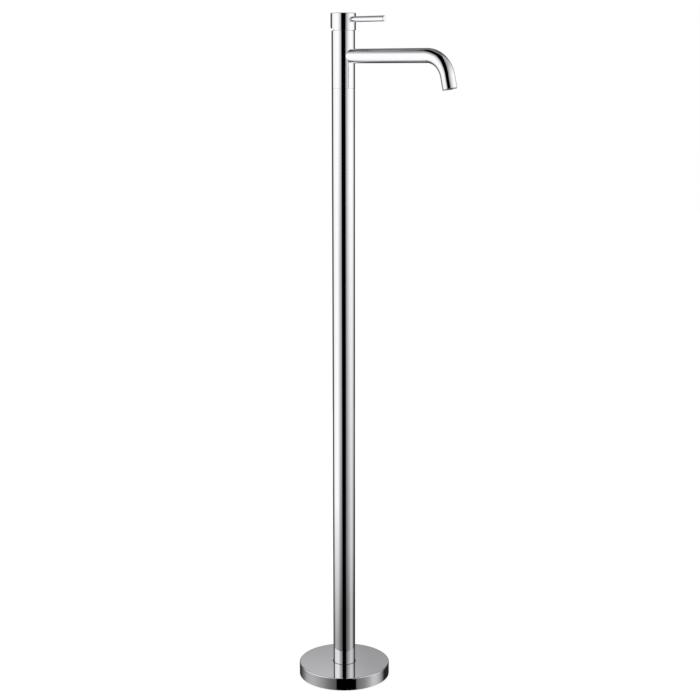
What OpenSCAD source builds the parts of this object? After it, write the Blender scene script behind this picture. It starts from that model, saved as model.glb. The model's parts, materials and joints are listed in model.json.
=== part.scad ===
// Floor-standing basin mixer: a slim column on a round foot, with a side spout and a pin lever.
// Millimetres, +Z up, +X along the spout, origin at the centre of the foot on the floor.

/* [Overall] */
// Height of the handle cap's top above the floor
total_h = 1185; // [1000:1:1300]
// Outer diameter of the column and of the mixer body
column_d = 40; // [39:0.5:46]
// Height of the mixer body
body_h = 96; // [94:0.5:120]
// Bevel on each side of the joint between the column and the body
joint_bevel = 0.4; // [0.2:0.1:0.8]

/* [Column] */
// Wall of the column tube
column_wall = 1.5; // [1:0.1:2]
// Height of the threaded ring in the column's top
ring_h = 24; // [23:1:40]
// Wall of the threaded ring
ring_wall = 1.5; // [1:0.1:2]

/* [Floor plate] */
// Diameter of the floor plate
plate_d = 134; // [126:1:150]
// Thickness of the floor plate
plate_t = 6; // [5:0.5:8]
// Diameter of the circle of floor screws
bolt_circle_d = 108; // [100:1:114]
// Diameter of the floor screw holes
bolt_hole_d = 9; // [6:0.5:10]
// Number of floor screws
bolt_count = 4; // [3:1:6]
// Diameter of the collar round the column
collar_d = 56; // [54:1:64]
// Height of the collar above the plate
collar_h = 9; // [8:0.5:14]
// Height of the spigot above the plate
spigot_h = 60; // [40:1:120]
// Wall of the spigot
spigot_wall = 2.4; // [1.5:0.1:2.8]
// Width of the spigot's ledge, which carries the inlet block
ledge_w = 1; // [0.8:0.1:1.5]
// Thickness of the ledge above the plate's underside
ledge_t = 8; // [6:0.5:12]
// Bevel on the plate's upper edge
plate_bevel = 1; // [0.5:0.1:2]

/* [Floor gasket] */
// Inner diameter of the gasket
gasket_in_d = 50; // [40:1:60]
// Width of the gasket
gasket_w = 8; // [4:0.5:12]
// Thickness of the gasket
gasket_t = 1.5; // [1:0.1:3]

/* [Grub screws] */
// Diameter of the collar's grub screws
screw_d = 6; // [4:0.5:6]
// Number of grub screws
screw_count = 3; // [2:1:4]
// Key size of the grub screws
screw_key = 3; // [2:0.5:3]
// Depth of the key socket
screw_key_depth = 3; // [2:0.5:4]
// How far the screws lie below the collar's surface
screw_sink = 0.5; // [0:0.1:1]

/* [Base cover] */
// Diameter of the base cover
cover_d = 164; // [160:1:190]
// Height of the gap between the collar and the hub ring
cover_room = 1; // [0.5:0.1:8]
// Wall of the base cover
cover_wall = 2.5; // [1.5:0.1:3]
// Rounding of the cover's upper edge
cover_edge_r = 1.5; // [0.5:0.1:1.5]
// Gap between the cover's hole and the column, which the seal fills
cover_gap = 1.2; // [0.8:0.05:1.6]
// Rounding of the hole's upper edge
cover_hole_r = 0.4; // [0.2:0.1:0.8]
// Height of the hub ring under the hole
hub_h = 4; // [3.5:0.1:6]
// Wall of the hub ring
hub_wall = 3.6; // [3:0.1:6]
// Thickness of the seal's flange, which the hub ring holds under the cover's roof
seal_flange_t = 2.4; // [1.8:0.1:2.6]
// How far that flange reaches outward from the cover's hole
seal_flange_w = 1.6; // [1:0.1:2]
// How far the seal's lip lies below the cover's top
seal_sink = 0.5; // [0.3:0.1:1]

/* [Supply] */
// Distance between the two supply tubes
supply_pitch = 14; // [13.6:0.1:15]
// How far the supply tubes lie behind the axis
supply_back = 4.5; // [4.3:0.1:5]
// Outer diameter of the supply tubes
tube_d = 10; // [9:0.5:10]
// Wall of the supply tubes
tube_wall = 1; // [0.6:0.1:1.5]
// Depth of the sockets for the tubes
socket_depth = 14; // [12:0.5:16]
// Height of the inlet block
block_h = 30; // [28:0.5:40]
// Core diameter of the M10 x 1 inlet threads
inlet_core_d = 9; // [8.5:0.1:9.5]
// Length of the inlet threads
inlet_thread_l = 12; // [8:0.5:13]
// Diameter of the waterways
water_d = 7; // [5:0.5:7]
// Section of the rings round the tubes
tube_oring_d = 1.9; // [1.5:0.1:2]

/* [Body spigot] */
// Length of the threaded spigot under the body
body_spigot_h = 22; // [20:0.5:23]

/* [Spout] */
// Depth of the spout's axis below the body's top
spout_drop = 42.5; // [42:0.5:50]
// Outer diameter of the spout tube
spout_d = 24; // [22:0.5:25]
// Wall of the spout tube
spout_wall = 2; // [1.5:0.1:2]
// Distance from the body's axis to the start of the bend
spout_straight = 178.5; // [80:0.5:260]
// Radius of the bend along the tube's centre line
bend_r = 43; // [36:0.5:80]
// Angle of the bend
bend_angle = 77; // [60:1:90]
// Straight length after the bend
spout_tail = 20.5; // [18:0.5:60]
// Distance from the body's axis to the end of the tube inside the body
spout_root_x = 13; // [12:0.5:14]
// Diameter of the thread at the spout's root
nipple_thread_d = 18; // [16:0.5:18]
// Depth of that thread in the body
nipple_thread_l = 4; // [3.5:0.5:4.5]
// Length of the nipple inside the spout tube
nipple_l = 15; // [8:0.5:30]
// Bore of the nipple
nipple_bore_d = 12; // [8:0.5:13]
// Section of the ring on the nipple
nipple_oring_d = 1.8; // [1.2:0.1:2]

/* [Aerator] */
// Length of the threaded sleeve in the spout's mouth
sleeve_l = 14.7; // [14.2:0.1:20]
// Wall of the threaded sleeve
sleeve_wall = 0.8; // [0.5:0.1:1]
// How far the sleeve lies inside the mouth
sleeve_sink = 0.5; // [0.2:0.1:1]
// How far the aerator lies inside the mouth
aerator_sink = 1.2; // [0.5:0.1:1.5]
// Length of the aerator's housing
aerator_l = 10; // [9:0.5:10]
// Wall of the aerator's housing
aerator_wall = 1.5; // [1:0.1:2]
// Width of the lip that holds the aerator's core
aerator_lip = 0.8; // [0.5:0.1:1.5]
// Height of the lip
aerator_lip_h = 1.8; // [1:0.1:2]
// Height of the core
core_h = 5; // [3:0.5:5]
// Diameter of the jets in the core
jet_d = 1.6; // [1:0.1:1.8]
// Distance between jets
jet_pitch = 2.2; // [2.2:0.1:3]
// Rim round the outermost jets
jet_rim = 0.5; // [0.4:0.1:1]
// Thickness of the screen
screen_t = 0.6; // [0.4:0.1:1]
// Diameter of the screen's holes
screen_hole_d = 0.9; // [0.5:0.1:1.1]
// Distance between the screen's holes
screen_pitch = 1.5; // [1.5:0.1:2]
// Thickness of the aerator's seal
aerator_seal_t = 1.5; // [1:0.1:1.7]
// Width of the spanner notches in the housing
notch_w = 2.4; // [1.5:0.1:3]
// Depth of the spanner notches
notch_depth = 1.2; // [0.8:0.1:1.6]
// Number of spanner notches
notch_count = 4; // [2:1:6]

/* [Cartridge] */
// Depth of the cartridge's seat below the body's top
seat_depth = 29; // [29:0.5:30]
// Diameter of the cartridge's housing
housing_d = 28; // [28:0.1:28.6]
// Height of the housing's lower, wider part above the seat
shoulder_h = 20; // [19:0.5:21]
// Diameter of the housing's upper part
neck_d = 26.8; // [26.4:0.1:27]
// Wall of the housing at the discs
housing_wall = 1.8; // [1.4:0.1:1.8]
// Height of the housing above the seat
housing_h = 37; // [36.8:0.1:37]
// Diameter of the opening in the housing's top
housing_mouth_d = 17.2; // [16.8:0.1:18]
// Thickness of the housing's top
housing_top_t = 2; // [1.5:0.1:2.2]
// Height of the cartridge's base
base_h = 9; // [8:0.5:9]
// Height of the base's wider foot
base_foot_h = 2; // [1.5:0.1:3]
// Depth of the channels in the base
channel_depth = 3; // [2:0.5:5]
// Diameter of the two inlet ports in the fixed disc
port_d = 3.8; // [3:0.1:4]
// Distance of the inlet ports in front of the axis
port_front = 3.6; // [3.4:0.1:3.8]
// Distance between the inlet ports
port_pitch = 11.2; // [10.8:0.1:11.4]
// Diameter of the outlet port in the fixed disc
outlet_port_d = 5; // [4:0.1:5.4]
// Distance of the outlet port behind the axis
outlet_port_back = 3; // [2:0.1:4]
// Distance of the outlet waterway in front of the axis
outlet_front = 5.5; // [5.4:0.1:6]
// Diameter of the outlet waterway
outlet_d = 6.4; // [5:0.1:6.6]
// Thickness of each ceramic disc
disc_t = 4; // [3.5:0.1:4]
// Diameter of the moving disc
moving_d = 20; // [19.6:0.1:20]
// Depth of the mixing chamber in the moving disc
chamber_depth = 1.8; // [1:0.1:2.5]
// Diameter of the mixing chamber
chamber_d = 15.6; // [14:0.1:16]
// Distance of the chamber's straight front edge from the disc's centre
chamber_front = 3.5; // [3.3:0.1:3.6]
// Thickness of the disc driver
driver_t = 4; // [3:0.1:4]
// Height of the lever's pivot above the seat
pivot_h = 33; // [33:0.1:33.6]
// Height of the stem's ball above the seat
ball_h = 20; // [19.6:0.1:20.4]
// Diameter of the stem's ball
ball_d = 5; // [4.5:0.1:5]
// Diameter of the stem's arm above the ball
arm_d = 3.6; // [3:0.1:4]
// Height of the carrier's flange
carrier_flange_h = 2.7; // [2:0.1:2.7]
// Diameter of the carrier's barrel
carrier_d = 21.4; // [20.8:0.1:21.4]
// How far the carrier's neck stands out of the housing
carrier_out = 1; // [0.5:0.1:1]
// Width of the carrier's stop lug, as an angle
lug_angle = 30; // [20:1:40]
// How far the stop lug stands out of the carrier's neck
lug_out = 1.4; // [0.8:0.1:1.8]
// Play of the stop lug at each end of the turn, as an angle
lug_play = 1; // [0.5:0.1:2]
// Diameter of the pivot pin
pivot_d = 3; // [2.5:0.1:3.2]
// Section of the rings under the cartridge
seal_d = 1.6; // [1.2:0.1:1.8]
// Width of each face of the square stem
stem_w = 7; // [6.5:0.1:7]
// How far the square part of the stem reaches below the pivot
stem_below = 5; // [4:0.5:5]

/* [Retaining nut and dome ring] */
// Diameter of the nut's thread
nut_d = 32; // [31.6:0.1:32.2]
// Height of the nut
nut_h = 13; // [11:0.5:13]
// Width of the nut's spanner slots
nut_slot_w = 4; // [3:0.5:5]
// Depth of the nut's spanner slots
nut_slot_depth = 2; // [1:0.5:3]
// Number of spanner slots
nut_slots = 6; // [4:1:8]
// Radius of the dome ring about the lever's pivot
dome_r = 17.5; // [17.4:0.1:17.7]
// Height of the dome ring
dome_h = 8; // [6:0.5:8]

/* [Handle] */
// How far the cap overhangs the body all round
cap_overhang = 1.6; // [0.5:0.1:3]
// Height of the handle cap
cap_h = 28.5; // [28.5:0.5:36]
// Gap between the cap and the body
cap_gap = 0.5; // [0.4:0.1:1]
// Thickness of the cap's top
cap_top_t = 5; // [3:0.5:6]
// Rounding of the cap's upper edge
cap_edge_r = 1.2; // [0.5:0.1:2]
// Clearance between the cap and the dome ring
cap_clear = 0.9; // [0.5:0.1:1.2]
// Diameter of the boss in the cap
boss_d = 14; // [13:0.5:15]
// Height of the boss's lower end above the pivot
boss_up = 9.5; // [9:0.1:10]
// How far the lever can be lifted
lift_angle = 18; // [12:1:18]
// How far the lever turns to each side
turn_angle = 45; // [30:1:50]
// Depth of the pin lever's axis below the cap's top
pin_drop = 10.8; // [10.5:0.1:11.4]
// Diameter of the pin lever
pin_d = 9.5; // [8:0.5:10.5]
// Distance from the body's axis to the tip of the pin lever
pin_reach = 90; // [60:1:130]
// Rounding of the pin lever's tip
pin_tip_r = 1.8; // [0.5:0.1:4]
// Depth of the pin lever's seat in the cap
pin_seat = 2; // [1:0.1:2.4]
// Diameter of the pin lever's thread
stud_d = 6; // [4:0.5:6]

/* [Fits] */
// Clearance of parts that slide or turn in each other
run_fit = 0.05; // [0.02:0.01:0.08]
// Clearance of parts that are brazed, pressed or screwed together
seat_fit = 0.02; // [0.01:0.01:0.03]
// Clearance round parts that are only dropped in
loose_fit = 0.1; // [0.05:0.01:0.2]
// Clearance under a swinging rim
swing_gap = 0.2; // [0.1:0.05:0.4]
// Share of a rubber ring's section that is left in its groove
ring_squeeze = 0.85; // [0.8:0.01:0.9]

/* [Hidden] */
$fn = 96;
// Overshoot of cutters beyond the faces they cut
cut = 1;
// How far the water room behind the spout reaches past the outlet waterway
water_room_over = 0.8;

column_r = column_d / 2;
column_in_r = column_r - column_wall;
body_top_z = total_h - cap_h - cap_gap;
body_z = body_top_z - body_h;

collar_r = collar_d / 2;
spigot_r = column_in_r - run_fit;
spigot_in_r = spigot_r - spigot_wall;
plate_hole_r = spigot_r + seat_fit;
screw_z = plate_t + collar_h / 2;
screw_l = collar_r - screw_sink - column_r;

cover_r = cover_d / 2;
cover_hole = column_r + cover_gap;
hub_z = plate_t + collar_h + cover_room;
cover_roof_z = hub_z + hub_h;
cover_h = cover_roof_z + cover_wall;
seal_z = cover_roof_z - seal_flange_t;

ring_in_r = column_in_r - ring_wall;
body_spigot_r = ring_in_r - seat_fit;
body_spigot_z = body_z - body_spigot_h;
socket_r = tube_d / 2 + run_fit;
tube_groove_r = tube_d / 2 + ring_squeeze * tube_oring_d;
block_z = ledge_t;
block_r = spigot_in_r - loose_fit;
block_socket_z = block_z + block_h - socket_depth;
body_socket_z = body_spigot_z + socket_depth;
tube_z = block_socket_z + seat_fit;
tube_l = body_socket_z - block_socket_z - 2 * seat_fit;

seat_z = body_top_z - seat_depth;
pivot_z = seat_z + pivot_h;
ball_z = seat_z + ball_h;
housing_r = housing_d / 2;
neck_r = neck_d / 2;
housing_in_r = housing_r - housing_wall;
barrel_r = carrier_d / 2;
fixed_z = seat_z + base_h;
moving_z = fixed_z + disc_t;
driver_z = moving_z + disc_t;
arm_l = pivot_z - ball_z;
disc_travel = arm_l * sin(lift_angle);
// Steps in which the stem's room follows the lift
sweep_steps = 6;
carrier_z = driver_z + driver_t + 3 * loose_fit;
barrel_z = carrier_z + carrier_flange_h;
housing_step_z = barrel_z + loose_fit;
housing_roof_z = seat_z + housing_h - housing_top_t;
carrier_neck_z = housing_roof_z - loose_fit;
carrier_top_z = seat_z + housing_h + carrier_out;
carrier_neck_r = housing_mouth_d / 2 - loose_fit;
seal_groove_d = ring_squeeze * seal_d;
nut_z = seat_z + shoulder_h;
nut_in_r = neck_r + loose_fit;

spout_z = body_top_z - spout_drop;
spout_r = spout_d / 2;
spout_in_r = spout_r - spout_wall;
// Angle by which the bend is swept too far before it is cut square, and half the size of the cutting block
bend_over = 10;
bend_room = bend_r + spout_d;
nipple_x = spout_root_x - nipple_thread_l;
nipple_groove_r = nipple_thread_d / 2 - ring_squeeze * nipple_oring_d;
water_room_x = outlet_front - outlet_d / 2 - water_room_over;
sleeve_in_r = spout_in_r - seat_fit - sleeve_wall;
aerator_r = sleeve_in_r - run_fit;
aerator_in_r = aerator_r - aerator_wall;
core_r = aerator_in_r - run_fit;
sleeve_step_w = aerator_wall + sleeve_wall / 2;

cap_r = column_r + cap_overhang;
cap_in_r = dome_r + cap_clear;
cap_z = body_top_z + cap_gap;
pin_z = total_h - pin_drop;
stem_hole = stem_w / 2 + seat_fit;
stem_top_z = total_h - cap_top_t - cap_gap;
// The relief under the cap's rear turns level, just above the body, when the lever is fully lifted
relief_d = pivot_z - body_top_z - swing_gap;

water_xy = [[-supply_back, supply_pitch / 2], [-supply_back, -supply_pitch / 2]];

// Finishes
chrome_tint = [0.86, 0.87, 0.88];
steel_tint = [0.66, 0.67, 0.69];
brass_tint = [0.80, 0.66, 0.35];
copper_tint = [0.80, 0.47, 0.32];
rubber_tint = [0.10, 0.10, 0.11];
white_plastic_tint = [0.90, 0.90, 0.88];
grey_plastic_tint = [0.55, 0.56, 0.58];
ceramic_tint = [0.95, 0.94, 0.90];

// Helpers

module pipe(r_out, r_in, h) {
    difference() {
        cylinder(r = r_out, h = h);
        translate([0, 0, -cut]) cylinder(r = r_in, h = h + 2 * cut);
    }
}

// What a rounding of radius r takes off a corner at the origin whose material lies in -X and -Y
module corner_off(r) {
    difference() {
        translate([-r, -r]) square(r + cut);
        translate([-r, -r]) circle(r = r);
    }
}

// What a bevel of width w takes off the same corner
module bevel_off(w) {
    polygon([[-w, cut], [-w, 0], [0, -w], [cut, -w], [cut, cut]]);
}

// Rubber ring squeezed between two round faces
module squeezed_ring(r_in, r_out, section) {
    rotate_extrude() intersection() {
        translate([(r_in + r_out) / 2, 0]) circle(d = section, $fn = 48);
        translate([r_in, -section]) square([r_out - r_in, 2 * section]);
    }
}

// Slot with round ends between two points of the XY plane
module slot(p, q, r) {
    d = q - p;
    for (c = [p, q]) translate(c) circle(r = r);
    translate(p) rotate(atan2(d[1], d[0])) translate([0, -r]) square([norm(d), 2 * r]);
}

// Points of a triangular grid inside a circle
function grid(r, pitch) = [
    for (j = [-ceil(r / pitch) * 2 : ceil(r / pitch) * 2])
        for (i = [-ceil(r / pitch) * 2 : ceil(r / pitch) * 2])
            let (p = [(i + j / 2) * pitch, j * pitch * sqrt(3) / 2])
                if (norm(p) <= r) p
];

// Moves children to the bend's centre, turned to the middle of the bend. Both ends of the bend are
// turned from there by the same half angle, so that the tube's three lengths meet exactly.
module at_bend() {
    translate([spout_straight, 0, spout_z - bend_r]) rotate([0, bend_angle / 2, 0]) children();
}

module at_bend_start() {
    at_bend() rotate([0, -bend_angle / 2, 0]) children();
}

module at_bend_end() {
    at_bend() rotate([0, bend_angle / 2, 0]) children();
}

// Moves children whose +Z points out of the spout's mouth, with z = 0 at the mouth
module at_mouth() {
    at_bend_end() translate([spout_tail, 0, bend_r]) rotate([0, 90, 0]) children();
}

// Solid rod of radius r along the spout's centre line
module spout_rod(r) {
    at_bend_start() translate([spout_root_x + seat_fit - spout_straight, 0, bend_r]) rotate([0, 90, 0])
        cylinder(r = r, h = spout_straight - spout_root_x - seat_fit);
    intersection() {
        at_bend_start() rotate([90, 0, 0]) rotate(90)
            rotate_extrude(angle = -bend_angle - bend_over, $fn = 128)
                translate([bend_r, 0]) rotate(180) circle(r = r, $fn = 48);
        at_bend_end() translate([-2 * bend_room, -bend_room, 0]) cube(2 * bend_room);
    }
    at_bend_end() translate([0, 0, bend_r]) rotate([0, 90, 0]) cylinder(r = r, h = spout_tail);
}

// Foot

module floor_plate() color(steel_tint) difference() {
    rotate_extrude() difference() {
        translate([plate_hole_r, 0]) square([plate_d / 2 - plate_hole_r, plate_t]);
        translate([plate_d / 2, plate_t]) bevel_off(plate_bevel);
    }
    translate([0, 0, -cut]) pipe(gasket_in_d / 2 + gasket_w, gasket_in_d / 2, gasket_t + cut);
    for (k = [0 : bolt_count - 1]) rotate((k + 0.5) * 360 / bolt_count)
        translate([bolt_circle_d / 2, 0, -cut]) cylinder(d = bolt_hole_d, h = plate_t + 2 * cut);
}

module clamp_collar() color(steel_tint) difference() {
    translate([0, 0, plate_t]) pipe(collar_r, column_r + run_fit, collar_h);
    at_collar_screws() cylinder(d = screw_d + 2 * seat_fit, h = collar_r - column_r + cut);
}

module column_spigot() color(steel_tint) difference() {
    cylinder(r = spigot_r, h = plate_t + spigot_h);
    translate([0, 0, ledge_t]) cylinder(r = spigot_in_r, h = plate_t + spigot_h);
    translate([0, 0, -cut]) cylinder(r = spigot_in_r - ledge_w, h = ledge_t + 2 * cut);
}

// Moves children to the grub screws' places, with +Z pointing outward from the column's surface
module at_collar_screws() {
    for (k = [0 : screw_count - 1]) rotate(180 + k * 360 / screw_count)
        translate([column_r + run_fit / 2, 0, screw_z]) rotate([0, 90, 0]) children();
}

module floor_gasket() color(rubber_tint)
    pipe(gasket_in_d / 2 + gasket_w - loose_fit, gasket_in_d / 2 + loose_fit, gasket_t);

module collar_screws() color(steel_tint) at_collar_screws() difference() {
    cylinder(d = screw_d, h = screw_l);
    translate([0, 0, screw_l - screw_key_depth])
        cylinder(r = screw_key / 2 / cos(30), h = screw_key_depth + cut, $fn = 6);
}

module base_cover() color(chrome_tint) rotate_extrude($fn = 180) difference() {
    union() {
        translate([cover_r - cover_wall, 0]) square([cover_wall, cover_h]);
        translate([cover_hole, cover_roof_z]) square([cover_r - cover_hole, cover_wall]);
    }
    translate([cover_r, cover_h]) corner_off(cover_edge_r);
    translate([cover_hole, cover_h]) mirror([1, 0]) corner_off(cover_hole_r);
}

module cover_hub() color(brass_tint) rotate_extrude() difference() {
    translate([cover_hole, hub_z]) square([hub_wall, hub_h]);
    translate([cover_hole - cut, seal_z]) square([seal_flange_w + cut, seal_flange_t + cut]);
}

module cover_seal() color(rubber_tint) rotate_extrude() {
    translate([column_r + run_fit, seal_z + seat_fit])
        square([cover_gap + seal_flange_w - run_fit - seat_fit, seal_flange_t - 2 * seat_fit]);
    translate([column_r + run_fit, seal_z + seat_fit])
        square([cover_gap - run_fit - seat_fit, cover_h - seal_sink - seal_z - seat_fit]);
}

// Column

module column_tube() color(chrome_tint) rotate_extrude() difference() {
    translate([column_in_r, plate_t]) square([column_wall, body_z - plate_t]);
    translate([column_r, body_z]) bevel_off(joint_bevel);
}

module column_ring() color(brass_tint) translate([0, 0, body_z - ring_h])
    pipe(column_in_r - seat_fit, ring_in_r, ring_h);

module inlet_block() color(brass_tint) difference() {
    translate([0, 0, block_z]) cylinder(r = block_r, h = block_h);
    for (p = water_xy) translate(p) {
        translate([0, 0, block_z - cut]) cylinder(d = inlet_core_d, h = inlet_thread_l + cut);
        translate([0, 0, block_z]) cylinder(d = water_d, h = block_h);
        translate([0, 0, block_socket_z]) cylinder(r = socket_r, h = socket_depth + cut);
        translate([0, 0, block_socket_z + socket_depth / 2 - tube_oring_d / 2])
            cylinder(r = tube_groove_r, h = tube_oring_d);
    }
}

module supply_tube(p) {
    translate([p[0], p[1], tube_z]) pipe(tube_d / 2, tube_d / 2 - tube_wall, tube_l);
}

module hot_supply_tube() color(copper_tint) supply_tube(water_xy[0]);

module cold_supply_tube() color(copper_tint) supply_tube(water_xy[1]);

module tube_orings() color(rubber_tint)
    for (p = water_xy) for (z = [block_socket_z + socket_depth / 2, body_socket_z - socket_depth / 2])
        translate([p[0], p[1], z])
            squeezed_ring(tube_d / 2 + seat_fit, tube_groove_r - seat_fit, tube_oring_d);

// Mixer body

module mixer_body() color(chrome_tint) difference() {
    union() {
        rotate_extrude() difference() {
            translate([0, body_z]) square([column_r, body_h]);
            translate([column_r, body_z]) mirror([0, 1]) bevel_off(joint_bevel);
            translate([column_r, body_top_z]) bevel_off(joint_bevel);
        }
        translate([0, 0, body_spigot_z]) cylinder(r = body_spigot_r, h = body_spigot_h);
    }
    translate([0, 0, seat_z]) cylinder(r = housing_r + loose_fit, h = seat_depth + cut);
    translate([0, 0, nut_z - loose_fit]) cylinder(r = nut_d / 2 + seat_fit, h = seat_depth);
    for (p = water_xy) translate(p) {
        translate([0, 0, body_spigot_z]) cylinder(d = water_d, h = seat_z - body_spigot_z + cut);
        translate([0, 0, body_spigot_z - cut]) cylinder(r = socket_r, h = socket_depth + cut);
        translate([0, 0, body_socket_z - socket_depth / 2 - tube_oring_d / 2])
            cylinder(r = tube_groove_r, h = tube_oring_d);
    }
    translate([outlet_front, 0, spout_z]) cylinder(d = outlet_d, h = seat_z - spout_z + cut);
    translate([0, 0, spout_z]) rotate([0, 90, 0]) {
        translate([0, 0, water_room_x]) cylinder(d = nipple_thread_d, h = column_r);
        translate([0, 0, spout_root_x]) cylinder(r = spout_r + seat_fit, h = column_r);
    }
}

// Spout and aerator

module spout_tube() color(chrome_tint) difference() {
    spout_rod(spout_r);
    spout_rod(spout_in_r);
}

// Moves children whose +Z points along the spout, with z = 0 at the nipple's inner end
module at_nipple() {
    translate([nipple_x, 0, spout_z]) rotate([0, 90, 0]) children();
}

module spout_nipple() color(brass_tint) at_nipple() difference() {
    union() {
        cylinder(r = nipple_thread_d / 2 - seat_fit, h = nipple_thread_l + seat_fit);
        translate([0, 0, nipple_thread_l]) cylinder(r = spout_in_r - seat_fit, h = nipple_l);
    }
    translate([0, 0, -cut]) cylinder(d = nipple_bore_d, h = nipple_thread_l + nipple_l + 2 * cut);
    translate([0, 0, (nipple_thread_l - nipple_oring_d) / 2])
        pipe(nipple_thread_d / 2 + cut, nipple_groove_r, nipple_oring_d);
}

module nipple_oring() color(rubber_tint) at_nipple() translate([0, 0, nipple_thread_l / 2])
    squeezed_ring(nipple_groove_r + seat_fit, nipple_thread_d / 2 - seat_fit, nipple_oring_d);

module outlet_sleeve() color(chrome_tint) at_mouth() {
    translate([0, 0, -sleeve_sink - sleeve_l]) difference() {
        cylinder(r = spout_in_r - seat_fit, h = sleeve_l);
        translate([0, 0, -cut]) cylinder(r = sleeve_in_r - sleeve_step_w, h = sleeve_l + 2 * cut);
        translate([0, 0, sleeve_l + sleeve_sink - aerator_sink - aerator_l - aerator_seal_t])
            cylinder(r = sleeve_in_r, h = sleeve_l);
    }
}

module aerator_seal() color(rubber_tint) at_mouth()
    translate([0, 0, -aerator_sink - aerator_l - aerator_seal_t])
        pipe(sleeve_in_r - loose_fit, aerator_in_r + loose_fit, aerator_seal_t);

module aerator_housing() color(grey_plastic_tint) at_mouth()
    translate([0, 0, -aerator_sink - aerator_l]) difference() {
        cylinder(r = aerator_r, h = aerator_l);
        translate([0, 0, -cut]) cylinder(r = aerator_in_r, h = aerator_l - aerator_lip_h + cut);
        translate([0, 0, -cut]) cylinder(r = aerator_in_r - aerator_lip, h = aerator_l + 2 * cut);
        for (k = [0 : notch_count - 1]) rotate(k * 360 / notch_count)
            translate([aerator_r, 0, aerator_l])
                cube([2 * aerator_wall, notch_w, 2 * notch_depth], center = true);
    }

module aerator_core() color(white_plastic_tint) at_mouth()
    translate([0, 0, -aerator_sink - aerator_lip_h - core_h]) difference() {
        cylinder(r = core_r, h = core_h);
        for (p = grid(core_r - jet_d / 2 - jet_rim, jet_pitch))
            translate([p[0], p[1], -cut]) cylinder(d = jet_d, h = core_h + 2 * cut, $fn = 16);
    }

module aerator_screen() color(steel_tint) at_mouth()
    translate([0, 0, -aerator_sink - aerator_lip_h - core_h - screen_t]) difference() {
        cylinder(r = core_r, h = screen_t);
        for (p = grid(core_r - screen_hole_d, screen_pitch))
            translate([p[0], p[1], -cut]) cylinder(d = screen_hole_d, h = screen_t + 2 * cut, $fn = 16);
    }

// Cartridge

module cartridge_base() color(grey_plastic_tint) difference() {
    union() {
        translate([0, 0, seat_z]) cylinder(r = housing_r, h = base_foot_h);
        translate([0, 0, seat_z]) cylinder(r = housing_in_r - seat_fit, h = base_h);
    }
    for (p = water_xy) translate([p[0], p[1], seat_z]) port_hole(water_d);
    translate([outlet_front, 0, seat_z]) port_hole(outlet_d);
    translate([0, 0, fixed_z - channel_depth]) linear_extrude(channel_depth + cut) {
        for (s = [1, -1])
            slot([-supply_back, s * supply_pitch / 2], [port_front, s * port_pitch / 2], port_d / 2);
        slot([outlet_front, 0], [-outlet_port_back, 0], outlet_port_d / 2);
    }
}

// Water hole with the seat of its rubber ring at the lower end
module port_hole(d) {
    translate([0, 0, -cut]) cylinder(d = d - 2 * seal_d, h = base_h - channel_depth + 2 * cut);
    translate([0, 0, -cut]) cylinder(d = d + seal_d, h = cut + seal_groove_d);
}

module cartridge_seals() color(rubber_tint) {
    for (p = water_xy) translate([p[0], p[1], seat_z]) port_seal(water_d);
    translate([outlet_front, 0, seat_z]) port_seal(outlet_d);
}

module port_seal(d) {
    translate([0, 0, seal_groove_d / 2]) intersection() {
        rotate_extrude() translate([d / 2 - seal_d / 4, 0]) circle(d = seal_d, $fn = 48);
        translate([0, 0, -seal_groove_d / 2])
            cylinder(r = d / 2 + seal_d / 2 - seat_fit, h = seal_groove_d);
    }
}

module fixed_disc() color(ceramic_tint) difference() {
    translate([0, 0, fixed_z]) cylinder(r = housing_in_r - loose_fit, h = disc_t);
    for (s = [1, -1]) translate([port_front, s * port_pitch / 2, fixed_z - cut])
        cylinder(d = port_d, h = disc_t + 2 * cut);
    translate([-outlet_port_back, 0, fixed_z - cut]) cylinder(d = outlet_port_d, h = disc_t + 2 * cut);
}

module moving_disc() color(ceramic_tint) translate([-disc_travel / 2, 0, moving_z]) difference() {
    cylinder(d = moving_d, h = disc_t);
    translate([0, 0, -cut]) linear_extrude(chamber_depth + cut) intersection() {
        circle(d = chamber_d);
        translate([chamber_front - chamber_d, -chamber_d / 2]) square(chamber_d);
    }
}

module disc_driver() color(white_plastic_tint) difference() {
    translate([-disc_travel / 2, 0, driver_z]) cylinder(d = moving_d, h = driver_t);
    translate([0, 0, ball_z - ball_d / 2 - loose_fit])
        cylinder(r = ball_d / 2 + loose_fit, h = driver_t + ball_d);
}

module swivel_carrier() color(white_plastic_tint) difference() {
    union() {
        translate([0, 0, carrier_z]) cylinder(r = housing_in_r - 2 * loose_fit, h = carrier_flange_h);
        translate([0, 0, carrier_z]) cylinder(r = barrel_r, h = carrier_neck_z - carrier_z);
        translate([0, 0, carrier_z]) cylinder(r = carrier_neck_r, h = carrier_top_z - carrier_z);
        rear_sector(lug_angle / 2) translate([carrier_neck_r - cut, carrier_neck_z])
            square([cut + lug_out, carrier_top_z - carrier_neck_z]);
    }
    rotate([90, 0, 0]) translate([0, 0, -stem_w / 2 - loose_fit])
        linear_extrude(stem_w + 2 * loose_fit) stem_room();
    translate([0, 0, pivot_z]) rotate([90, 0, 0])
        translate([0, 0, -column_r]) cylinder(d = pivot_d + 2 * seat_fit, h = column_d);
}

// Turns a flat profile about the axis, over an angle to each side of the rear
module rear_sector(half_angle) {
    rotate(180 - half_angle) rotate_extrude(angle = 2 * half_angle) children();
}

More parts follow.
